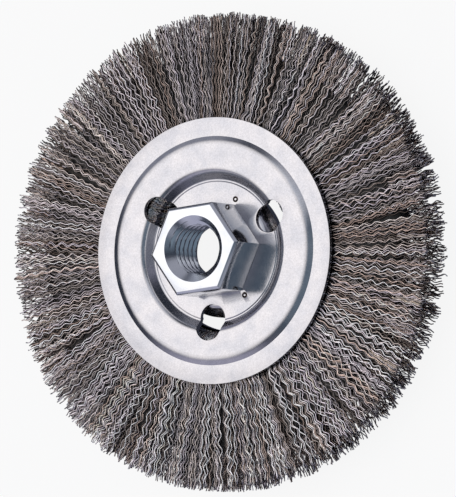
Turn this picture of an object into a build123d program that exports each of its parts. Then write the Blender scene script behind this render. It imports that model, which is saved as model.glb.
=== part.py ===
"""Crimped wire wheel brush with a threaded hub nut.

Two stamped steel covers clamp a ring of crimped wire tufts. Each tuft is a
hairpin of wires folded over a flat core hoop, so it cannot pull out. The floors
of both covers lie face to face, and the spigot of the hub nut goes through them
and is riveted over behind. The wheel lies flat: its axis is Z, the nut looks up,
and the rear cover's raised ring rests on z = 0.
"""

import os
from math import cos, radians, sin, tan

from build123d import *

# Whole brush
brush_diameter = 115.0
tip_width = 10.8

# Stamped covers
sheet = 1.2
cover_diameter = 64.2
step_diameter = 55.2
step_slope_width = 1.5
step_rise = 0.8
pack_width = 12.0

# Front recess, which holds the nut
recess_top_diameter = 38.4
recess_floor_diameter = 35.0
recess_depth = 2.2
recess_lip_bevel = 0.9

# Rear recess, a deep cone that reaches forward to the front floor
rear_mouth_diameter = 46.0
rear_floor_diameter = 26.0

# Three punched slots through the front cover, and the windows behind them
slot_count = 3
slot_angle = -90.0
slot_width = 6.8
slot_inner_radius = 12.8
slot_outer_radius = 21.7
window_inner_radius = 15.9
window_outer_radius = 19.0
window_sweep = 48.0

# Hub nut and its riveted spigot
nut_across_flats = 21.0
nut_height = 11.0
nut_turn = 9.3
nut_edge_bevel = 0.65
thread_minor_diameter = 11.84
thread_mouth_diameter = 16.0
spigot_diameter = 18.0
spigot_fit = 0.05
rivet_height = 2.1
rivet_head_diameter = 20.4
rivet_tip_diameter = 17.2
rivet_bore_diameter = 14.4

# Round stake marks in the floor, beside every other corner of the nut
stake_count = 3
stake_circle_diameter = 26.8
stake_diameter = 1.3
stake_depth = 0.45

# Core hoop that the wires are folded over
hoop_diameter = 49.4
hoop_thickness = 1.4
hoop_width = 3.2
hoop_clearance = 0.05

# Crimped wire tufts, parted at their tips and of three kinds in turn: each kind
# takes its own share of the stagger at its tip, its front face and its rear face
tuft_count = 48
tuft_kinds = [(0.0, 0.0, 1.0), (1.0, 0.6, 0.4), (0.5, 1.0, 0.0)]
tip_stagger = 1.2
face_stagger = 1.5
tip_notch_depth = 2.8
tuft_fill = 0.9
fold_thickness = 0.9
fold_bevel = 2.6
cover_clearance = 0.05
wave_count = 3
wave_amplitude = 0.8

# Levels along the axis, from the rear raised ring upwards
rear_ring_z = step_rise
pack_bottom_z = rear_ring_z + sheet
pack_top_z = pack_bottom_z + pack_width
pack_middle_z = (pack_bottom_z + pack_top_z) / 2
front_ring_z = pack_top_z + sheet
plateau_z = front_ring_z + step_rise
floor_z = plateau_z - recess_depth
rear_floor_z = floor_z - 2 * sheet
nut_face_z = floor_z + nut_height
rivet_end_z = rear_floor_z - rivet_height

# Radii that several pieces share
cover_radius = cover_diameter / 2
step_foot_radius = step_diameter / 2
step_top_radius = step_foot_radius - step_slope_width
recess_floor_radius = recess_floor_diameter / 2
recess_top_radius = recess_top_diameter / 2
rear_floor_radius = rear_floor_diameter / 2
rear_mouth_radius = rear_mouth_diameter / 2
spigot_hole_radius = spigot_diameter / 2 + spigot_fit
hoop_inner_radius = (hoop_diameter - hoop_thickness) / 2
hoop_outer_radius = (hoop_diameter + hoop_thickness) / 2
slot_angles = [slot_angle + i * 360 / slot_count for i in range(slot_count)]


def polar(radius, angle):
    """Point in the XY plane at a radius and an angle in degrees."""
    return (radius * cos(radians(angle)), radius * sin(radians(angle)))


def radial_slot(inner_radius, outer_radius, width, angle):
    """Round-ended slot that runs outwards along one radius."""
    middle = polar((inner_radius + outer_radius) / 2, angle)
    outer_end = polar(outer_radius - width / 2, angle)
    SlotCenterPoint(middle, outer_end, height=width)


# Front cover: flat outer ring, raised ring, and a recess with the nut's floor
with BuildPart() as front_cover:
    with BuildSketch(Plane.XZ):
        with BuildLine():
            Polyline(
                (spigot_hole_radius, floor_z),
                (recess_floor_radius, floor_z),
                (recess_top_radius, plateau_z),
                (step_top_radius, plateau_z),
                (step_foot_radius, front_ring_z),
                (cover_radius, front_ring_z),
            )
            offset(amount=sheet, side=Side.RIGHT, kind=Kind.INTERSECTION)
        make_face()
    revolve(axis=Axis.Z)
    ring_edges = front_cover.edges().filter_by(GeomType.CIRCLE).group_by(Axis.Z)[-1]
    chamfer(ring_edges.sort_by(SortBy.RADIUS)[0], length=recess_lip_bevel)
    with BuildSketch(Plane.XY.offset(plateau_z)):
        for angle in slot_angles:
            radial_slot(slot_inner_radius, slot_outer_radius, slot_width, angle)
    extrude(amount=-(plateau_z - floor_z + sheet), mode=Mode.SUBTRACT)
    with BuildSketch(Plane.XY.offset(floor_z)):
        with PolarLocations(stake_circle_diameter / 2, stake_count, start_angle=nut_turn + 60):
            Circle(stake_diameter / 2)
    extrude(amount=-stake_depth, mode=Mode.SUBTRACT)
front_cover.part.label = "front_cover"

# Rear cover: the same rings, and a deep cone with three kidney windows
with BuildPart() as rear_cover:
    with BuildSketch(Plane.XZ):
        with BuildLine():
            Polyline(
                (spigot_hole_radius, rear_floor_z),
                (rear_floor_radius, rear_floor_z),
                (rear_mouth_radius, 0),
                (step_top_radius, 0),
                (step_foot_radius, rear_ring_z),
                (cover_radius, rear_ring_z),
            )
            offset(amount=sheet, side=Side.LEFT, kind=Kind.INTERSECTION)
        make_face()
    revolve(axis=Axis.Z)
    with BuildSketch(Plane.XY):
        for angle in slot_angles:
            middle = (window_inner_radius + window_outer_radius) / 2
            with BuildLine():
                arc = CenterArc((0, 0), middle, angle - window_sweep / 2, window_sweep)
            SlotArc(arc, height=window_outer_radius - window_inner_radius)
    extrude(amount=floor_z - sheet, mode=Mode.SUBTRACT)
rear_cover.part.label = "rear_cover"

# Hub nut: bevelled hexagon, threaded bore, and a spigot riveted over behind
with BuildPart() as hub_nut:
    with BuildSketch(Plane.XY.offset(floor_z)):
        RegularPolygon(
            radius=nut_across_flats / 2, side_count=6, major_radius=False, rotation=nut_turn
        )
    extrude(amount=nut_height)
    chamfer(hub_nut.faces().sort_by(Axis.Z)[-1].edges(), length=nut_edge_bevel)
    with BuildSketch(Plane.XZ):
        with BuildLine():
            Polyline(
                (0, floor_z),
                (spigot_diameter / 2, floor_z),
                (spigot_diameter / 2, rear_floor_z),
                (rivet_head_diameter / 2, rear_floor_z),
                (rivet_tip_diameter / 2, rivet_end_z),
                (0, rivet_end_z),
                close=True,
            )
        make_face()
    revolve(axis=Axis.Z)
    mouth_depth = (thread_mouth_diameter - thread_minor_diameter) / 2
    with BuildSketch(Plane.XZ):
        with BuildLine():
            Polyline(
                (0, nut_face_z),
                (thread_mouth_diameter / 2, nut_face_z),
                (thread_minor_diameter / 2, nut_face_z - mouth_depth),
                (thread_minor_diameter / 2, floor_z - sheet),
                (rivet_bore_diameter / 2, floor_z - sheet),
                (rivet_bore_diameter / 2, rivet_end_z),
                (0, rivet_end_z),
                close=True,
            )
        make_face()
    revolve(axis=Axis.Z, mode=Mode.SUBTRACT)
hub_nut.part.label = "hub_nut"

# Core hoop: a flat strip ring in the middle of the wire pack
with BuildPart() as core_hoop:
    with BuildSketch(Plane.XY.offset(pack_middle_z - hoop_width / 2)):
        Circle(hoop_outer_radius)
        Circle(hoop_inner_radius, mode=Mode.SUBTRACT)
    extrude(amount=hoop_width)
core_hoop.part.label = "core_hoop"


def wave_edge(side):
    """One crimped edge of a tuft in plan, from its fold out to its tip."""
    spread = tan(radians(tuft_fill * 180 / tuft_count))
    fold_x = hoop_inner_radius - hoop_clearance - fold_thickness
    wave_start = step_foot_radius
    half_wave = (brush_diameter / 2 - wave_start) / (2 * wave_count)
    points = [(fold_x, side * fold_x * spread), (wave_start, side * wave_start * spread)]
    for i in range(1, 2 * wave_count + 1):
        x = wave_start + i * half_wave
        swing = wave_amplitude * (1 if i % 2 else -1)
        points.append((x, side * x * spread + swing))
    return points


def build_tuft(tip_share, front_share, rear_share):
    """A crimped fan in plan, cut to the section of a hairpin round the hoop."""
    fold_radius = hoop_inner_radius - hoop_clearance - fold_thickness
    tip_radius = brush_diameter / 2 - tip_share * tip_stagger
    low_z = pack_bottom_z + cover_clearance
    high_z = pack_top_z - cover_clearance
    with BuildPart() as tuft:
        with BuildSketch(Plane.XY.offset(pack_bottom_z)):
            with BuildLine():
                notch = (tip_radius - tip_notch_depth, wave_amplitude)
                Polyline(*wave_edge(1), notch, *reversed(wave_edge(-1)), close=True)
            make_face()
        extrude(amount=pack_width)
        with BuildSketch(Plane.XZ):
            with BuildLine():
                Polyline(
                    (fold_radius, low_z + fold_bevel),
                    (fold_radius + fold_bevel, low_z),
                    (step_foot_radius, low_z),
                    (tip_radius, pack_middle_z - tip_width / 2 + rear_share * face_stagger),
                    (tip_radius, pack_middle_z + tip_width / 2 - front_share * face_stagger),
                    (step_foot_radius, high_z),
                    (fold_radius + fold_bevel, high_z),
                    (fold_radius, high_z - fold_bevel),
                    close=True,
                )
            make_face()
            with Locations((hoop_diameter / 2, pack_middle_z)):
                Rectangle(
                    hoop_thickness + 2 * hoop_clearance,
                    hoop_width + 2 * hoop_clearance,
                    mode=Mode.SUBTRACT,
                )
        extrude(amount=brush_diameter / 4, both=True, mode=Mode.INTERSECT)
    return tuft.part


# Wire tufts: the three kinds take turns round the wheel
tufts = [build_tuft(*kind) for kind in tuft_kinds]
with BuildPart() as wire_tufts:
    for i in range(tuft_count):
        with PolarLocations(0, 1, start_angle=i * 360 / tuft_count):
            add(tufts[i % len(tufts)])
wire_tufts.part.label = "wire_tufts"

os.makedirs("parts", exist_ok=True)
export_step(front_cover.part, "parts/front_cover.step")
export_step(rear_cover.part, "parts/rear_cover.step")
export_step(hub_nut.part, "parts/hub_nut.step")
export_step(core_hoop.part, "parts/core_hoop.step")
export_step(wire_tufts.part, "parts/wire_tufts.step")
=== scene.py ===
"""Looks of the crimped wire wheel brush: plated covers, threaded hub nut and crimped wires."""

import math
import random

import bmesh
import bpy
from mathutils import Matrix, Vector


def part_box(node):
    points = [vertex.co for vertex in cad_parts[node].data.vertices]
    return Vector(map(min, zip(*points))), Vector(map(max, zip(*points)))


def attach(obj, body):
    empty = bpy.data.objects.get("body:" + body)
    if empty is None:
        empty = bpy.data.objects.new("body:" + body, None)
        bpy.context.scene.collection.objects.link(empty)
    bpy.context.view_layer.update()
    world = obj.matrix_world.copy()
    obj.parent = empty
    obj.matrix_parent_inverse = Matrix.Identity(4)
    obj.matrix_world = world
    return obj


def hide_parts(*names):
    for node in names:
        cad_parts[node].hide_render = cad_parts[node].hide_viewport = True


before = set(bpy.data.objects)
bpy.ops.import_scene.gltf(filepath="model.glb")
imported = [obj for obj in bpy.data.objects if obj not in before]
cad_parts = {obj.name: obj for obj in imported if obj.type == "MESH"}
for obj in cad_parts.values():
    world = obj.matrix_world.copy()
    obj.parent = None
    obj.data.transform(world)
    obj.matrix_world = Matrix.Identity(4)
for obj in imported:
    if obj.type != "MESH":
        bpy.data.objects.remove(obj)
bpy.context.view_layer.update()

MM = 0.001

# Levels and radii that come from the CAD frame
front_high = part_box("front_cover")[1]
rear_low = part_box("rear_cover")[0]
nut_low, nut_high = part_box("hub_nut")
pack_low, pack_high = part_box("wire_tufts")
cover_radius = front_high.x
plateau_z = front_high.z
rear_ring_bottom = rear_low.z
nut_face_z = nut_high.z
rivet_end_z = nut_low.z
wheel_radius = round(pack_high.x, 6)
pack_middle_z = (pack_low.z + pack_high.z) / 2

# Stamped covers
sheet = 1.2 * MM
step_rise = 0.8 * MM
recess_depth = 2.2 * MM
front_ring_z = plateau_z - step_rise
floor_z = plateau_z - recess_depth
rear_floor_z = floor_z - 2 * sheet
rear_ring_z = rear_ring_bottom + step_rise
hole_radius = 9.05 * MM
recess_floor_radius = 17.3 * MM
recess_top_radius = 19.2 * MM
rear_floor_radius = 13.0 * MM
rear_mouth_radius = 23.0 * MM
step_top_radius = 26.1 * MM
step_foot_radius = 27.6 * MM
score_radius = 16.75 * MM
score_half_width = 0.16 * MM
score_depth = 0.10 * MM
lathe_segments = 192

# Roundings of the covers' rings, as width and segments, and the width along their cut edges
lip_rounding = (0.95 * MM, 8)
step_rounding = (0.85 * MM, 7)
floor_rounding = (0.18 * MM, 3)
rear_lip_rounding = (0.8 * MM, 6)
rear_step_rounding = (0.32 * MM, 4)
rear_floor_rounding = (0.5 * MM, 4)
cut_edge_rounding = 0.16 * MM

# Slots in the front cover and windows in the rear one
slot_count = 3
slot_angles = [math.radians(-90 + i * 360 / slot_count) for i in range(slot_count)]
slot_width = 6.8 * MM
slot_inner_radius = 12.8 * MM
slot_outer_radius = 21.7 * MM
slot_cutter_height = 12 * MM
window_inner_radius = 15.9 * MM
window_outer_radius = 19.0 * MM
window_middle_radius = (window_inner_radius + window_outer_radius) / 2
window_half_width = (window_outer_radius - window_inner_radius) / 2
window_sweep = math.radians(48)
window_top_z = floor_z - sheet + 0.1 * MM
cutter_segments = 64

# Hub nut
nut_across_flats = 21.0 * MM
nut_turn = math.radians(9.3)
nut_edge_bevel = 0.65 * MM
nut_edge_rounding = 0.14 * MM
spigot_radius = 9.0 * MM
spigot_overlap = 2 * MM
spigot_segments = 96
rivet_head_radius = 10.2 * MM
rivet_tip_radius = 8.6 * MM
rivet_bore_radius = 7.2 * MM
rivet_flare_radius = 7.8 * MM
rivet_flare_slope = 0.5
thread_pitch = 2.0 * MM
thread_minor_radius = 5.92 * MM
thread_major_radius = 7.0 * MM
thread_mouth_radius = 8.0 * MM
flank_slope = math.tan(math.radians(60))
mouth_slope = 1.15

# Stake marks beside every other corner of the nut
stake_count = 3
stake_angles = [nut_turn + math.radians(60 + i * 360 / stake_count) for i in range(stake_count)]
stake_circle_radius = 13.4 * MM
stake_ring_radius = 0.5 * MM
stake_groove_radius = 0.26 * MM
stake_sink = 0.12 * MM

# Wires and their crimps. A slow wave is its turns round the wheel, its size and its start.
wire_radius = 0.158 * MM
crimp_length = 3.1 * MM
crimp_height = 0.34 * MM
crimp_bend = 0.15
crimp_anchor = 44 * MM
phase_waves = [(3, 0.9, 0.4), (8, 0.6, 2.1), (19, 0.45, 4.0), (41, 0.3, 1.2)]
length_waves = [(1, 0.11, -3.49), (4, 0.07, 1.0), (11, 0.05, 3.3)]
height_waves = [(1, 0.22, -3.49), (6, 0.12, 0.7)]

# Where the wires run: out from under the covers, free of them, and uneven towards their tips
cover_edge = 32 * MM
wire_start_radius = 30.5 * MM
free_run = 6 * MM
sway_run = 6 * MM
uneven_run = 2.1 * MM
ripple_run = 1.1 * MM
ripple_height = 0.15 * MM
gather_start = 49 * MM
gather_run = 8 * MM
straight_start = 53.5 * MM
straight_run = 4 * MM
furthest_tip = wheel_radius + 0.3 * MM

# Layers of wires over each face, as depth and painted shade (deeper layers darker), and the
# bundles at the rim
lock_sizes = [1, 1, 2, 2, 3, 3, 4, 5, 6]
pitch_radius = 40 * MM
front_pitch = 0.48 * MM
rear_pitch = 0.60 * MM
front_layers = [(0.1 * MM, 1.10), (0.75 * MM, 0.44), (1.5 * MM, 0.2)]
rear_layers = [(0.1 * MM, 1.15), (0.8 * MM, 0.45)]
face_height = 5.75 * MM
face_drop = 0.45 * MM
sunk_depth = 0.75 * MM
rim_start_radius = 48.5 * MM
rim_half_height = 4.7 * MM
rim_bundle_size = 1700

# Shades of the wires: painted light, lighter towards one side of the wheel, and darker close to
# the covers
side_light_swing = 0.24
side_light_direction = math.radians(288)
near_cover_darkening = 0.8
near_cover_run = 5 * MM

# The wires' folds over the core hoop, which show through the slots
fold_radius = 19.8 * MM
fold_bend = 2.0 * MM
fold_bend_steps = 4
fold_height = 5.6 * MM
fold_end_drop = 1 * MM
fold_run_radii = [27 * MM, 25.2 * MM, 23.6 * MM]
fold_crimp = 0.16 * MM
fold_depths = [0, 0.5 * MM]
fold_spread = math.radians(24)
fold_pitch = math.radians(1.0)

# The middle of the pack, coloured near black as painted shade
core_inner_radius = 25.8 * MM
core_shoulder_radius = 47 * MM
core_outer_radius = 49 * MM
core_inner_half = 4.2 * MM
core_shoulder_half = 3.6 * MM
core_outer_half = 2.0 * MM
core_segments = 128

# Soft panels round the studio: direction, cosines at the edge and where it is full, and colour.
# Each is mixed over those before it.
room_color = (0.05, 0.06, 0.085)
studio_glows = {
    "ceiling": ((0.42, -0.15, 0.87), 0.80, 0.98, (0.21, 0.27, 0.34)),
    "back": ((0.10, 0.49, 0.87), 0.93, 0.99, (0.85, 0.89, 0.98)),
    "wall": ((0.35, 0.88, 0.30), 0.74, 0.94, (0.42, 0.43, 0.50)),
    "corner": ((0.68, -0.68, 0.28), 0.86, 0.98, (0.40, 0.42, 0.50)),
    "far_corner": ((-0.72, 0.64, 0.26), 0.80, 0.98, (0.38, 0.40, 0.48)),
    "fill": ((-0.4, -0.83, 0.40), 0.76, 0.97, (0.54, 0.54, 0.68)),
    "panel": ((-0.48, 0.08, 0.87), 0.76, 0.95, (1.50, 1.47, 1.48)),
}


# Working with objects and edit mode

def deselect_all():
    if bpy.context.mode != "OBJECT":
        bpy.ops.object.mode_set(mode="OBJECT")
    bpy.ops.object.select_all(action="DESELECT")


def named_active(name):
    """Names the object that was just added, and its mesh."""
    obj = bpy.context.view_layer.objects.active
    obj.name = name
    obj.data.name = name
    return obj


def work_on(obj):
    deselect_all()
    obj.select_set(True)
    bpy.context.view_layer.objects.active = obj


def edit(obj, mode):
    work_on(obj)
    bpy.ops.object.mode_set(mode="EDIT")
    bpy.ops.mesh.select_mode(type=mode)
    bpy.ops.mesh.select_all(action="DESELECT")
    return bmesh.from_edit_mesh(obj.data)


def leave_edit(obj):
    bmesh.update_edit_mesh(obj.data)
    bpy.ops.object.mode_set(mode="OBJECT")


def face_outwards(obj):
    """Turns all faces of the closed mesh that is being edited outwards, and leaves edit mode."""
    bpy.ops.mesh.select_all(action="SELECT")
    bpy.ops.mesh.normals_make_consistent(inside=False)
    leave_edit(obj)


def select_open_edges(bm):
    for edge in bm.edges:
        edge.select_set(edge.is_boundary)


def apply_transform(obj):
    work_on(obj)
    bpy.ops.object.transform_apply(location=True, rotation=True, scale=True)


def apply_modifier(obj, kind, **settings):
    work_on(obj)
    modifier = obj.modifiers.new(kind.title(), kind)
    for key, value in settings.items():
        setattr(modifier, key, value)
    bpy.ops.object.modifier_apply(modifier=modifier.name)


def round_edges(obj, width, segments, degrees):
    """Rounds the edges where two faces meet at more than an angle."""
    apply_modifier(obj, "BEVEL", width=width, segments=segments, limit_method="ANGLE",
                   angle_limit=math.radians(degrees))


def boolean(obj, tool, operation="DIFFERENCE"):
    apply_modifier(obj, "BOOLEAN", object=tool, operation=operation, solver="EXACT")
    bpy.data.objects.remove(tool)


def smooth_by_angle(obj, degrees):
    work_on(obj)
    bpy.ops.object.shade_smooth_by_angle(angle=math.radians(degrees))


def polar(radius, angle, z=0.0):
    return Vector((radius * math.cos(angle), radius * math.sin(angle), z))


# Turned and stamped forms

def add_rings(name, corners, segments=lathe_segments):
    """A circle drawn at the first corner and extruded from ring to ring through the others."""
    deselect_all()
    radius, z = corners[0]
    bpy.ops.mesh.primitive_circle_add(vertices=segments, radius=radius, location=(0, 0, 0))
    obj = named_active(name)
    bpy.ops.object.mode_set(mode="EDIT")
    bpy.ops.mesh.select_all(action="SELECT")
    bpy.ops.transform.translate(value=(0, 0, z))
    for next_radius, next_z in corners[1:]:
        bpy.ops.mesh.extrude_region_move(TRANSFORM_OT_translate={"value": (0, 0, next_z - z)})
        scale = next_radius / radius
        bpy.ops.transform.resize(value=(scale, scale, 1))
        radius, z = next_radius, next_z
    bpy.ops.object.mode_set(mode="OBJECT")
    return obj


def turn_faces(obj, upwards):
    """Makes an open sheet's faces all point up or all down."""
    bm = edit(obj, "FACE")
    bpy.ops.mesh.select_all(action="SELECT")
    bpy.ops.mesh.normals_make_consistent(inside=False)
    height = sum(face.normal.z * face.calc_area() for face in bm.faces)
    if (height > 0) != upwards:
        bpy.ops.mesh.flip_normals()
    leave_edit(obj)


def bevel_rings(obj, radius, z, rounding):
    """Rounds the ring edges that lie at one radius and level."""
    tolerance = 0.02 * MM
    width, segments = rounding
    bm = edit(obj, "EDGE")
    for edge in bm.edges:
        ends = [vert.co for vert in edge.verts]
        at_radius = all(abs(co.xy.length - radius) < tolerance for co in ends)
        edge.select_set(at_radius and all(abs(co.z - z) < tolerance for co in ends))
    bpy.ops.mesh.bevel(offset=width, segments=segments, affect="EDGES")
    leave_edit(obj)


def add_slot_cutter(angle):
    """A round-ended bar that stands up through one radial slot."""
    deselect_all()
    bpy.ops.mesh.primitive_cylinder_add(
        vertices=cutter_segments, radius=slot_width / 2, depth=slot_cutter_height
    )
    cutter = named_active("slot_cutter")
    bm = edit(cutter, "VERT")
    for vert in bm.verts:
        vert.select_set(vert.co.x > 0.001 * MM)
    bm.select_flush(True)
    length = slot_outer_radius - slot_inner_radius - slot_width
    bpy.ops.transform.translate(value=(length, 0, 0))
    leave_edit(cutter)
    cutter.location = polar(slot_inner_radius + slot_width / 2, angle, plateau_z)
    cutter.rotation_euler = (0, 0, angle)
    apply_transform(cutter)
    return cutter


def add_window_cutter(angle):
    """A kidney-shaped bar: an upright plane spun through the window's sweep."""
    deselect_all()
    bpy.ops.mesh.primitive_plane_add(size=1)
    cutter = named_active("window_cutter")
    bm = edit(cutter, "VERT")
    for vert in bm.verts:
        radius = window_middle_radius + math.copysign(window_half_width, vert.co.x)
        vert.co = polar(radius, angle - window_sweep / 2, window_top_z * (vert.co.y + 0.5))
    bmesh.update_edit_mesh(cutter.data)
    bpy.ops.mesh.select_all(action="SELECT")
    bpy.ops.mesh.spin(steps=24, angle=-window_sweep, center=(0, 0, 0), axis=(0, 0, 1))
    face_outwards(cutter)
    return cutter


def add_window_end(angle):
    """The round end of a window."""
    deselect_all()
    bpy.ops.mesh.primitive_cylinder_add(
        vertices=cutter_segments, radius=window_half_width, depth=window_top_z,
        location=polar(window_middle_radius, angle, window_top_z / 2),
    )
    cutter = named_active("window_end")
    apply_transform(cutter)
    return cutter


def add_front_cover():
    """The front cover: floor with a scored line, rounded lip, raised ring and outer ring."""
    cover = add_rings("front_cover_sheet", [
        (hole_radius, floor_z),
        (score_radius - score_half_width, floor_z),
        (score_radius, floor_z - score_depth),
        (score_radius + score_half_width, floor_z),
        (recess_floor_radius, floor_z),
        (recess_top_radius, plateau_z),
        (step_top_radius, plateau_z),
        (step_foot_radius, front_ring_z),
        (cover_radius, front_ring_z),
    ])
    turn_faces(cover, upwards=True)
    bevel_rings(cover, recess_top_radius, plateau_z, lip_rounding)
    bevel_rings(cover, step_top_radius, plateau_z, step_rounding)
    bevel_rings(cover, recess_floor_radius, floor_z, floor_rounding)
    apply_modifier(cover, "SOLIDIFY", thickness=sheet, offset=-1, use_even_offset=True)
    for angle in slot_angles:
        boolean(cover, add_slot_cutter(angle))
    for angle in stake_angles:
        boolean(cover, add_stake_ring(angle))
    round_edges(cover, cut_edge_rounding, 3, 60)
    smooth_by_angle(cover, 24)
    darken_stake_rings(cover)
    return cover


def add_stake_ring(angle):
    """The round groove that a tube-ended punch leaves in the floor."""
    deselect_all()
    bpy.ops.mesh.primitive_torus_add(
        location=polar(stake_circle_radius, angle, floor_z - stake_sink),
        major_segments=32, minor_segments=12,
        major_radius=stake_ring_radius, minor_radius=stake_groove_radius,
    )
    ring = named_active("stake_ring")
    apply_transform(ring)
    return ring


def darken_stake_rings(cover):
    """Marks the points of the stake grooves, which the sheet's material colours dark brown."""
    reach = 0.8 * MM
    shallowest = 0.005 * MM
    stake_groove_dark = cover.data.attributes.new("stake_groove_dark", "FLOAT", "POINT")
    values = [0.0] * len(cover.data.vertices)
    centers = [polar(stake_circle_radius, angle, floor_z) for angle in stake_angles]
    for vert in cover.data.vertices:
        sunk = floor_z - vert.co.z
        near = min((vert.co - center).xy.length for center in centers)
        if near < reach and shallowest < sunk < reach:
            values[vert.index] = 1.0
    stake_groove_dark.data.foreach_set("value", values)


def add_rear_cover():
    """The rear cover: outer ring, raised ring that the wheel lies on, and a deep cone."""
    cover = add_rings("rear_cover_sheet", [
        (hole_radius, rear_floor_z),
        (rear_floor_radius, rear_floor_z),
        (rear_mouth_radius, rear_ring_bottom),
        (step_top_radius, rear_ring_bottom),
        (step_foot_radius, rear_ring_z),
        (cover_radius, rear_ring_z),
    ])
    turn_faces(cover, upwards=False)
    bevel_rings(cover, rear_mouth_radius, rear_ring_bottom, rear_lip_rounding)
    bevel_rings(cover, step_top_radius, rear_ring_bottom, rear_step_rounding)
    bevel_rings(cover, rear_floor_radius, rear_floor_z, rear_floor_rounding)
    apply_modifier(cover, "SOLIDIFY", thickness=sheet, offset=-1, use_even_offset=True)
    for angle in slot_angles:
        boolean(cover, add_window_cutter(angle))
        for end in (angle - window_sweep / 2, angle + window_sweep / 2):
            boolean(cover, add_window_end(end))
    round_edges(cover, cut_edge_rounding, 2, 65)
    smooth_by_angle(cover, 24)
    return cover


# Hub nut

def bore_radius(angle, z):
    """Radius of the nut's bore: M14 x 2 thread, countersunk mouth and riveted end."""
    turn = (z / thread_pitch - angle / math.tau) % 1.0
    from_root = abs(turn - 0.5) * thread_pitch
    flank = max(0.0, from_root - thread_pitch / 16) * flank_slope
    radius = max(thread_minor_radius, thread_major_radius - flank)
    radius = max(radius, thread_mouth_radius - mouth_slope * (nut_face_z - z))
    if z < floor_z - sheet:
        radius = max(radius, rivet_bore_radius)
    return max(radius, rivet_flare_radius - (z - rivet_end_z) * rivet_flare_slope)


def add_thread_tap():
    """A closed plug with the bore's form, which is cut out of the nut."""
    columns = 144
    row_height = 0.125 * MM
    rows = int((nut_face_z - rivet_end_z) / row_height)
    levels = [rivet_end_z + row_height * i for i in range(rows)] + [nut_face_z]
    verts = []
    for z in levels:
        for i in range(columns):
            angle = math.tau * i / columns
            verts.append(polar(bore_radius(angle, z), angle, z))
    faces = []
    for row in range(len(levels) - 1):
        for i in range(columns):
            a = row * columns + i
            b = row * columns + (i + 1) % columns
            faces.append((a, b, b + columns, a + columns))
    mesh = bpy.data.meshes.new("thread_tap")
    mesh.from_pydata(verts, [], faces)
    tap = bpy.data.objects.new("thread_tap", mesh)
    bpy.context.collection.objects.link(tap)
    close_ends(tap)
    return tap


def close_ends(tap):
    """Draws both open ends a little way out of the nut and fills them."""
    overhang = 0.5 * MM
    middle = (nut_face_z + rivet_end_z) / 2
    bm = edit(tap, "EDGE")
    select_open_edges(bm)
    bpy.ops.mesh.extrude_region_move()
    bm = bmesh.from_edit_mesh(tap.data)
    select_open_edges(bm)
    for vert in [v for v in bm.verts if v.select]:
        vert.co.z += overhang if vert.co.z > middle else -overhang
    bmesh.update_edit_mesh(tap.data)
    bpy.ops.mesh.edge_face_add()
    face_outwards(tap)


def add_spigot():
    """The turned spigot with its riveted collar, closed at both ends."""
    spigot = add_rings("spigot", [
        (rivet_tip_radius, rivet_end_z),
        (rivet_head_radius, rear_floor_z),
        (spigot_radius, rear_floor_z),
        (spigot_radius, floor_z + spigot_overlap),
    ], spigot_segments)
    select_open_edges(edit(spigot, "EDGE"))
    bpy.ops.mesh.edge_face_add()
    face_outwards(spigot)
    return spigot


def add_hub_nut():
    """The hexagon with its bevelled top, and the spigot that is riveted over behind."""
    deselect_all()
    bpy.ops.mesh.primitive_cylinder_add(
        vertices=6, radius=nut_across_flats / math.sqrt(3), depth=nut_face_z - floor_z,
        location=(0, 0, (nut_face_z + floor_z) / 2), rotation=(0, 0, nut_turn + math.radians(30)),
    )
    nut = named_active("hub_nut_threaded")
    apply_transform(nut)
    bm = edit(nut, "EDGE")
    for edge in bm.edges:
        edge.select_set(all(abs(vert.co.z - nut_face_z) < 0.01 * MM for vert in edge.verts))
    bpy.ops.mesh.bevel(offset=nut_edge_bevel, segments=1, affect="EDGES")
    leave_edit(nut)
    round_edges(nut, nut_edge_rounding, 3, 25)
    boolean(nut, add_spigot(), "UNION")
    boolean(nut, add_thread_tap())
    smooth_by_angle(nut, 32)
    return nut


# Crimped wires

def ramp_up(distance, length):
    """Rises from 0 to 1 over a length."""
    return min(1.0, max(0.0, distance / length))


class WireBundle:
    """Gathers the meshes of many wires, with a tint and a shade on each point. The shade scales
    the colour: painted light and shade, with some tone.
    """

    def __init__(self, name):
        self.name = name
        self.verts = []
        self.faces = []
        self.tints = []
        self.painted_lights_and_tones = []

    def add_wire(self, points, tint, painted_light_and_tone):
        """One three-sided wire along its points, closed at both ends."""
        first = len(self.verts)
        count = len(points)
        for i, point in enumerate(points):
            before = points[max(i - 1, 0)]
            after = points[min(i + 1, count - 1)]
            along = (after - before).normalized()
            side = along.cross(Vector((0, 0, 1))).normalized()
            over = side.cross(along)
            # The colour is darker close to the covers, and full a little way out from them
            away_from_cover = ramp_up(point.xy.length - cover_edge, near_cover_run)
            for k in range(3):
                turn = math.tau * k / 3 + math.pi / 2
                outwards = side * math.cos(turn) + over * math.sin(turn)
                self.verts.append(point + outwards * wire_radius)
                self.tints.append(tint)
                self.painted_lights_and_tones.append(painted_light_and_tone * (near_cover_darkening + (1 - near_cover_darkening) * away_from_cover))
        for i in range(count - 1):
            for k in range(3):
                a = first + 3 * i + k
                b = first + 3 * i + (k + 1) % 3
                self.faces.append((a, b, b + 3, a + 3))
        last = first + 3 * (count - 1)
        self.faces.append((first + 2, first + 1, first))
        self.faces.append((last, last + 1, last + 2))

    def finish(self, material):
        mesh = bpy.data.meshes.new(self.name)
        mesh.from_pydata(self.verts, [], self.faces)
        for name, values in (("tint", self.tints), ("painted_light_and_tone", self.painted_lights_and_tones)):
            attribute = mesh.attributes.new(name, "FLOAT", "POINT")
            attribute.data.foreach_set("value", values)
        obj = bpy.data.objects.new(self.name, mesh)
        bpy.context.collection.objects.link(obj)
        for polygon in mesh.polygons:
            polygon.use_smooth = True
        mesh.materials.append(material)
        return obj


def slow_wave(angle, waves):
    """A smooth value that drifts up and down round the wheel."""
    return sum(size * math.sin(turns * angle + start) for turns, size, start in waves)


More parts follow.
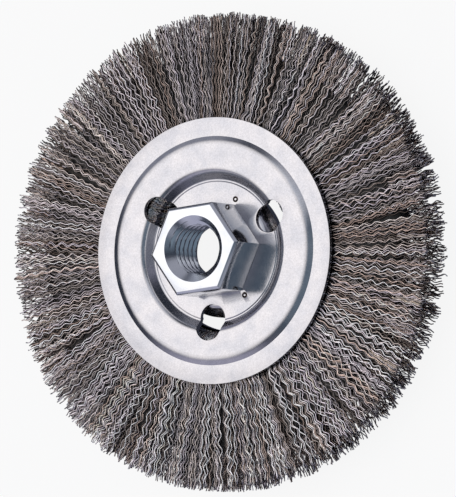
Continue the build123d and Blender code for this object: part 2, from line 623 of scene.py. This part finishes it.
def crimp_radii(start, tip, half_wave, phase):
    """Radii along one wire: its ends, and two close together at each of its blunt bends."""
    radii = [start]
    first = int((start - crimp_anchor) / half_wave - phase) - 1
    last = int((tip - crimp_anchor) / half_wave - phase) + 1
    for i in range(first, last + 1):
        for end in (-crimp_bend, crimp_bend):
            radius = crimp_anchor + (i + end + phase) * half_wave
            if start + 0.1 * half_wave < radius < tip:
                radii.append(radius)
    return radii + [tip]


def wire_points(lock, start, tip, offset, level, phase):
    """Points of one crimped wire of a lock. level gives its height at a radius."""
    half_wave = lock["crimp_length"] * (1 + 0.05 * (phase - lock["phase"])) / 2
    points = []
    for radius in crimp_radii(start, tip, half_wave, phase):
        run = radius - cover_edge
        free = ramp_up(run, free_run)
        gather = 1 - lock["gather"] * ramp_up(radius - gather_start, gather_run)
        sway = lock["sway"] * math.sin(run / sway_run + lock["sway_phase"]) * free
        aside = offset * radius / pitch_radius * gather + run * lock["tilt"] + sway
        straight = ramp_up(radius - straight_start, straight_run)
        uneven = 0.85 + 0.35 * math.sin(radius / uneven_run + 3 * lock["sway_phase"] + 2 * phase)
        height = lock["crimp_height"] * uneven * (0.75 + 0.25 * free) * (1 - 0.55 * straight)
        swing = 1 if round((radius - crimp_anchor) / half_wave - phase) % 2 else -1
        angle = lock["angle"] + (aside + swing * height) / radius
        ripple = ripple_height * math.sin(radius / ripple_run + lock["sway_phase"] + phase)
        points.append(polar(radius, angle, level(radius) + lock["lift"] * free + ripple))
    return points


def random_lock(rng, angle):
    """A lock whose crimps run on from its neighbours', except for three locks in ten."""
    stray = rng.uniform(0.4, 1.6) if rng.random() < 0.3 else 0.0
    length = crimp_length * (1 + slow_wave(angle, length_waves))
    height = crimp_height * (1 + slow_wave(angle, height_waves))
    return {
        "angle": angle,
        "crimp_length": length * rng.uniform(0.94, 1.07),
        "crimp_height": height * rng.uniform(0.7, 1.15),
        "tilt": rng.gauss(0, 0.035),
        "sway": rng.uniform(0, 0.5) * MM,
        "sway_phase": rng.uniform(0, math.tau),
        "lift": rng.uniform(-0.7, 0.15) * MM,
        "gather": rng.uniform(0, 0.45),
        "tip": wheel_radius + rng.gauss(0, 0.35) * MM,
        "tint": rng.random(),
        "phase": slow_wave(angle, phase_waves) + rng.gauss(0, 0.22) + stray,
    }


def random_tip(rng, lock):
    tip = lock["tip"] + rng.gauss(0, 0.3) * MM - rng.expovariate(1.6) * MM
    return min(furthest_tip, tip)


def near_tint(rng, tint):
    return min(1.0, max(0.0, tint + rng.gauss(0, 0.2)))


def face_level(side, depth):
    """Gives the height, at any radius, of a wire that lies at a depth under one face."""
    def level(radius):
        half = face_height - face_drop * (radius - cover_edge) / (wheel_radius - cover_edge)
        return pack_middle_z + side * (half - depth)
    return level


def add_face_wires(name, material, side, layers, pitch, seed):
    """Locks of wires over one face of the wheel. side is 1 in front and -1 behind."""
    rng = random.Random(seed)
    bundles = []
    for number, (depth, painted_light_and_tone) in enumerate(layers):
        bundle = WireBundle(f"{name}_{number + 1}")
        angle = 0.0
        while angle < math.tau:
            count = rng.choice(lock_sizes)
            width = count * pitch + rng.uniform(0, 0.12) * MM
            lock = random_lock(rng, angle + width / 2 / pitch_radius)
            lock["lift"] *= side
            for i in range(count):
                offset = (i - (count - 1) / 2) * pitch + rng.gauss(0, 0.12) * MM
                sunk = rng.random()
                points = wire_points(
                    lock, wire_start_radius, random_tip(rng, lock), offset,
                    face_level(side, depth + sunk * sunk_depth),
                    lock["phase"] + rng.gauss(0, 0.2),
                )
                # Painted light: the colour is lighter towards one side of the wheel
                side_light = 1 + side_light_swing * math.cos(angle - side_light_direction)
                # Painted shade: sunk wires, lower locks and deeper layers get a darker colour and
                # a tint nearer the ramp's dark brown end
                lift_painted_shading = 1 + 0.4 * side * lock["lift"] / MM
                tint = near_tint(rng, lock["tint"]) * (1 - 0.6 * sunk) * (1 - 0.25 * number)
                bundle.add_wire(points, tint, painted_light_and_tone * (1.5 - 1.1 * sunk) * lift_painted_shading * side_light)
            angle += width / pitch_radius
        bundles.append(bundle.finish(material))
    return bundles


def add_rim_wires(name, material, seed):
    """Short outer ends of the wires in the middle of the pack."""
    rng = random.Random(seed)
    bundle = WireBundle(name)
    made = 0
    while made < rim_bundle_size:
        lock = random_lock(rng, rng.uniform(0, math.tau))
        lock["crimp_height"] *= 0.6
        height = rng.uniform(-1, 1) * rim_half_height
        for i in range(rng.randint(2, 5)):
            own = pack_middle_z + height + rng.gauss(0, 0.3) * MM
            points = wire_points(
                lock, rim_start_radius, random_tip(rng, lock), rng.gauss(0, 0.35) * MM,
                lambda radius, own=own: own, lock["phase"] + rng.gauss(0, 0.12),
            )
            bundle.add_wire(points, near_tint(rng, lock["tint"]), rng.uniform(0.65, 1.3))
            made += 1
    return bundle.finish(material)


def fold_points(rng, angle, depth):
    """A wire that runs inwards under the cover and turns down over the core hoop."""
    top = pack_middle_z + fold_height - depth
    inner = fold_radius + rng.uniform(-0.3, 0.3) * MM
    path = [(radius, top) for radius in fold_run_radii]
    for i in range(fold_bend_steps + 1):
        turn = math.pi / 2 * i / fold_bend_steps
        path.append((
            inner + fold_bend * (1 - math.sin(turn)), top - fold_bend * (1 - math.cos(turn))
        ))
    path.append((inner - 0.1 * MM, pack_middle_z - fold_end_drop))
    points = []
    for i, (radius, z) in enumerate(path):
        aside = fold_crimp if i % 2 else -fold_crimp
        points.append(polar(radius, angle + aside / radius, z))
    return points


def add_fold_wires(name, material, seed):
    """Two layers of folds behind each of the front slots."""
    rng = random.Random(seed)
    bundle = WireBundle(name)
    for slot in slot_angles:
        for depth in fold_depths:
            angle = slot - fold_spread
            while angle < slot + fold_spread:
                points = fold_points(rng, angle + rng.gauss(0, 0.2) * fold_pitch, depth)
                # Painted light: the folds' colour is about twice as bright as the other wires',
                # for the light that the cover keeps from them
                bundle.add_wire(points, rng.random(), rng.uniform(1.5, 2.1))
                angle += fold_pitch
    return bundle.finish(material)


def add_pack_core(material):
    """The dense middle of the pack, where the wires lie too close to be told apart. Its
    near-black colour is painted shade.
    """
    core = add_rings("wire_pack_core", [
        (core_inner_radius, pack_middle_z - core_inner_half),
        (core_shoulder_radius, pack_middle_z - core_shoulder_half),
        (core_outer_radius, pack_middle_z - core_outer_half),
        (core_outer_radius, pack_middle_z + core_outer_half),
        (core_shoulder_radius, pack_middle_z + core_shoulder_half),
        (core_inner_radius, pack_middle_z + core_inner_half),
        (core_inner_radius, pack_middle_z - core_inner_half),
    ], core_segments)
    edit(core, "VERT")
    bpy.ops.mesh.select_all(action="SELECT")
    bpy.ops.mesh.remove_doubles(threshold=0.001 * MM)
    face_outwards(core)
    smooth_by_angle(core, 40)
    core.data.materials.append(material)
    return core


# Nodes of materials and of the world. A value is a number, a colour or another node's output.

def new_material(name):
    material = bpy.data.materials.new(name)
    material.use_nodes = True
    tree = material.node_tree
    return material, tree, tree.nodes["Principled BSDF"]


def set_or_link(tree, value, socket):
    if isinstance(value, tuple):
        socket.default_value = (*value, 1)
    elif isinstance(value, float):
        socket.default_value = value
    else:
        tree.links.new(value, socket)


def add_noise(tree, scale, detail):
    coordinates = tree.nodes.new("ShaderNodeTexCoord")
    noise = tree.nodes.new("ShaderNodeTexNoise")
    noise.inputs["Scale"].default_value = scale
    noise.inputs["Detail"].default_value = detail
    tree.links.new(coordinates.outputs["Object"], noise.inputs["Vector"])
    return noise.outputs["Fac"]


def add_attribute(tree, name):
    attribute = tree.nodes.new("ShaderNodeAttribute")
    attribute.attribute_name = name
    return attribute.outputs["Fac"]


def add_ramp(tree, value, stops):
    ramp = tree.nodes.new("ShaderNodeValToRGB")
    elements = ramp.color_ramp.elements
    while len(elements) < len(stops):
        elements.new(0.5)
    for element, (position, color) in zip(elements, stops):
        element.position = position
        element.color = (*color, 1)
    tree.links.new(value, ramp.inputs["Fac"])
    return ramp.outputs["Color"]


def spread_noise(tree, noise, low, high):
    """Spreads a noise, which mostly lies between 0.3 and 0.7, from low to high."""
    node = tree.nodes.new("ShaderNodeMapRange")
    node.inputs["From Min"].default_value = 0.3
    node.inputs["From Max"].default_value = 0.7
    node.inputs["To Min"].default_value = low
    node.inputs["To Max"].default_value = high
    tree.links.new(noise, node.inputs["Value"])
    return node.outputs["Result"]


def add_bump(tree, height, distance, strength):
    bump = tree.nodes.new("ShaderNodeBump")
    bump.inputs["Distance"].default_value = distance
    bump.inputs["Strength"].default_value = strength
    tree.links.new(height, bump.inputs["Height"])
    return bump.outputs["Normal"]


def add_scale(tree, color, factor):
    scaled = tree.nodes.new("ShaderNodeVectorMath")
    scaled.operation = "SCALE"
    tree.links.new(color, scaled.inputs[0])
    tree.links.new(factor, scaled.inputs["Scale"])
    return scaled.outputs["Vector"]


def add_math(tree, operation, first, second):
    node = tree.nodes.new("ShaderNodeMath")
    node.operation = operation
    set_or_link(tree, first, node.inputs[0])
    set_or_link(tree, second, node.inputs[1])
    return node.outputs["Value"]


def add_mix(tree, factor, first, second):
    """Mixes two colours. Sockets 6 and 7 of a Mix node are its colours A and B."""
    mix = tree.nodes.new("ShaderNodeMix")
    mix.data_type = "RGBA"
    tree.links.new(factor, mix.inputs["Factor"])
    set_or_link(tree, first, mix.inputs[6])
    set_or_link(tree, second, mix.inputs[7])
    return mix.outputs[2]


# Materials

def plated_sheet_material():
    """Zinc plate on stamped sheet: pale, softly mottled, with a fine grain."""
    material, tree, shader = new_material("plated_sheet")
    shader.inputs["Metallic"].default_value = 1.0
    mottle = add_noise(tree, scale=240, detail=3)
    color = add_ramp(tree, mottle, [
        (0.33, (0.44, 0.44, 0.468)), (0.5, (0.49, 0.483, 0.503)), (0.67, (0.535, 0.522, 0.535)),
    ])
    grain = add_noise(tree, scale=2600, detail=2)
    color = add_scale(tree, color, spread_noise(tree, grain, 0.91, 1.06))
    # Dark brown colour in the stake grooves
    color = add_mix(tree, add_attribute(tree, "stake_groove_dark"), color, (0.05, 0.035, 0.025))
    tree.links.new(color, shader.inputs["Base Color"])
    tree.links.new(spread_noise(tree, mottle, 0.13, 0.21), shader.inputs["Roughness"])
    tree.links.new(add_bump(tree, grain, 0.02 * MM, 0.25), shader.inputs["Normal"])
    return material


def plated_nut_material():
    """Bright zinc on turned and milled steel, smoother than the sheet."""
    material, tree, shader = new_material("plated_nut")
    shader.inputs["Metallic"].default_value = 1.0
    cloud = add_noise(tree, scale=180, detail=3)
    color = add_ramp(tree, cloud, [(0.35, (0.55, 0.57, 0.61)), (0.65, (0.65, 0.66, 0.68))])
    tree.links.new(color, shader.inputs["Base Color"])
    tree.links.new(spread_noise(tree, cloud, 0.08, 0.17), shader.inputs["Roughness"])
    grain = add_noise(tree, scale=2200, detail=3)
    tree.links.new(add_bump(tree, grain, 0.03 * MM, 0.35), shader.inputs["Normal"])
    return material


def wire_material():
    """Drawn steel wire: grey, with brown and straw tints that differ from lock to lock."""
    material, tree, shader = new_material("crimped_wire")
    shader.inputs["Metallic"].default_value = 1.0
    color = add_ramp(tree, add_attribute(tree, "tint"), [
        (0.0, (0.60, 0.465, 0.40)), (0.2, (0.76, 0.67, 0.62)), (0.45, (0.90, 0.83, 0.86)),
        (0.65, (0.81, 0.73, 0.79)), (0.85, (0.91, 0.82, 0.77)), (1.0, (0.69, 0.585, 0.48)),
    ])
    worn = add_noise(tree, scale=700, detail=3)
    # The colour is scaled by the painted light and shade kept on the wires' points, and by the
    # worn noise
    painted_light_and_tone = add_math(
        tree, "MULTIPLY", add_attribute(tree, "painted_light_and_tone"), spread_noise(tree, worn, 0.70, 1.20)
    )
    tree.links.new(add_scale(tree, color, painted_light_and_tone), shader.inputs["Base Color"])
    tree.links.new(spread_noise(tree, worn, 0.18, 0.32), shader.inputs["Roughness"])
    return material


def painted_shading_core_material():
    """Painted shade: the dark between the wires, as a near-black colour."""
    material, tree, shader = new_material("pack_core_painted_shading")
    shader.inputs["Roughness"].default_value = 0.6
    streaks = add_noise(tree, scale=900, detail=3)
    color = add_ramp(tree, streaks, [(0.4, (0.012, 0.010, 0.009)), (0.65, (0.05, 0.045, 0.04))])
    tree.links.new(color, shader.inputs["Base Color"])
    return material


def bare_steel_material():
    """Rolled steel strip, for the hoop."""
    material, tree, shader = new_material("bare_steel")
    shader.inputs["Metallic"].default_value = 1.0
    shader.inputs["Roughness"].default_value = 0.4
    scale = add_noise(tree, scale=400, detail=3)
    color = add_ramp(tree, scale, [(0.4, (0.30, 0.28, 0.27)), (0.6, (0.45, 0.43, 0.41))])
    tree.links.new(color, shader.inputs["Base Color"])
    return material


def floor_material():
    """Pale floor: white to the camera, and dim in the metal's reflections."""
    material, tree, shader = new_material("studio_floor")
    shader.inputs["Base Color"].default_value = (0.85, 0.85, 0.85, 1)
    shader.inputs["Roughness"].default_value = 0.9
    rays = tree.nodes.new("ShaderNodeLightPath").outputs
    glow = tree.nodes.new("ShaderNodeEmission")
    color = add_mix(tree, rays["Is Glossy Ray"], (1, 1, 1), (0.05, 0.055, 0.08))
    tree.links.new(color, glow.inputs["Color"])
    seen = add_math(tree, "MAXIMUM", rays["Is Camera Ray"], rays["Is Glossy Ray"])
    mix = tree.nodes.new("ShaderNodeMixShader")
    tree.links.new(add_math(tree, "MULTIPLY", seen, 0.9), mix.inputs["Fac"])
    tree.links.new(shader.outputs["BSDF"], mix.inputs[1])
    tree.links.new(glow.outputs["Emission"], mix.inputs[2])
    tree.links.new(mix.outputs["Shader"], tree.nodes["Material Output"].inputs["Surface"])
    return material


# Studio

def add_studio():
    deselect_all()
    bpy.ops.mesh.primitive_plane_add(size=8, location=(0, 0, 0))
    floor = named_active("studio_floor")
    floor.data.materials.append(floor_material())
    add_world()
    add_softbox("key_softbox", position=(-0.55, 0.15, 1.15), size=0.6, power=0.25)


def add_world():
    """A dark room with soft panels of light, white to the camera."""
    world = bpy.data.worlds.new("studio_world")
    bpy.context.scene.world = world
    world.use_nodes = True
    tree = world.node_tree
    coordinates = tree.nodes.new("ShaderNodeTexCoord")
    color = room_color
    for direction, edge, full, glow_color in studio_glows.values():
        glow = add_glow(tree, coordinates, direction, edge, full)
        color = add_mix(tree, glow, color, glow_color)
    rays = tree.nodes.new("ShaderNodeLightPath").outputs
    color = add_mix(tree, rays["Is Camera Ray"], color, (1, 1, 1))
    tree.links.new(color, tree.nodes["Background"].inputs["Color"])


def add_glow(tree, coordinates, direction, edge, full):
    """How much a soft panel in one direction fills a ray's view, from 0 to 1."""
    aim = tree.nodes.new("ShaderNodeVectorMath")
    aim.operation = "DOT_PRODUCT"
    aim.inputs[1].default_value = Vector(direction).normalized()
    tree.links.new(coordinates.outputs["Generated"], aim.inputs[0])
    glow = tree.nodes.new("ShaderNodeMapRange")
    glow.interpolation_type = "SMOOTHSTEP"
    glow.inputs["From Min"].default_value = edge
    glow.inputs["From Max"].default_value = full
    tree.links.new(aim.outputs["Value"], glow.inputs["Value"])
    return glow.outputs["Result"]


def add_softbox(name, position, size, power):
    """A square lamp that looks at the origin."""
    deselect_all()
    bpy.ops.object.light_add(type="AREA", location=position)
    lamp = bpy.context.view_layer.objects.active
    lamp.name = name
    lamp.data.shape = "RECTANGLE"
    lamp.data.size = size
    lamp.data.size_y = size
    lamp.data.energy = power
    lamp.rotation_euler = (-Vector(position)).to_track_quat("-Z", "Y").to_euler()


def add_camera():
    """The photo's view: 30 degrees off the wheel's axis, from far away."""
    image_width = 456
    focal_pixels = 8000
    distance = 1.925
    lean = math.radians(30.05)
    heading = math.radians(-3.6)
    roll = math.radians(2.64)
    aim_height = 12 * MM
    aim_right = 2.0 * MM
    aim_up = 0.65 * MM
    back = Vector((
        math.sin(lean) * math.cos(heading), math.sin(lean) * math.sin(heading), math.cos(lean)
    ))
    level_up = (Vector((0, 1, 0)) - back * back.y).normalized()
    level_right = level_up.cross(back)
    right = level_right * math.cos(roll) + level_up * math.sin(roll)
    up = level_up * math.cos(roll) - level_right * math.sin(roll)
    target = Vector((0, 0, aim_height)) + right * aim_right + up * aim_up
    data = bpy.data.cameras.new("photo_camera")
    data.sensor_fit = "HORIZONTAL"
    data.sensor_width = 36
    data.lens = focal_pixels / image_width * data.sensor_width
    camera = bpy.data.objects.new("photo_camera", data)
    bpy.context.collection.objects.link(camera)
    camera.matrix_world = Matrix.Translation(target + back * distance) @ Matrix(
        (right, up, back)
    ).transposed().to_4x4()
    bpy.context.scene.camera = camera


# The wheel

def place(piece, node, material=None):
    """Puts a finished piece on the wheel in place of a CAD node and material."""
    if material is not None:
        piece.data.materials.clear()
        piece.data.materials.append(material)
    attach(piece, "root")
    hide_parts(node)


plated = plated_sheet_material()
wire = wire_material()
place(add_front_cover(), "front_cover", plated)
place(add_rear_cover(), "rear_cover", plated)
place(add_hub_nut(), "hub_nut", plated_nut_material())
place(add_pack_core(painted_shading_core_material()), "wire_tufts")
for bundle in add_face_wires("front_wires", wire, 1, front_layers, front_pitch, seed=11):
    place(bundle, "wire_tufts")
for bundle in add_face_wires("rear_wires", wire, -1, rear_layers, rear_pitch, seed=23):
    place(bundle, "wire_tufts")
place(add_rim_wires("rim_wires_1", wire, seed=37), "wire_tufts")
place(add_rim_wires("rim_wires_2", wire, seed=38), "wire_tufts")
place(add_fold_wires("fold_wires", wire, seed=51), "wire_tufts")
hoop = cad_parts["core_hoop"]
hoop.data.materials.clear()
hoop.data.materials.append(bare_steel_material())

add_studio()
add_camera()
bpy.context.scene.view_settings.view_transform = "Standard"
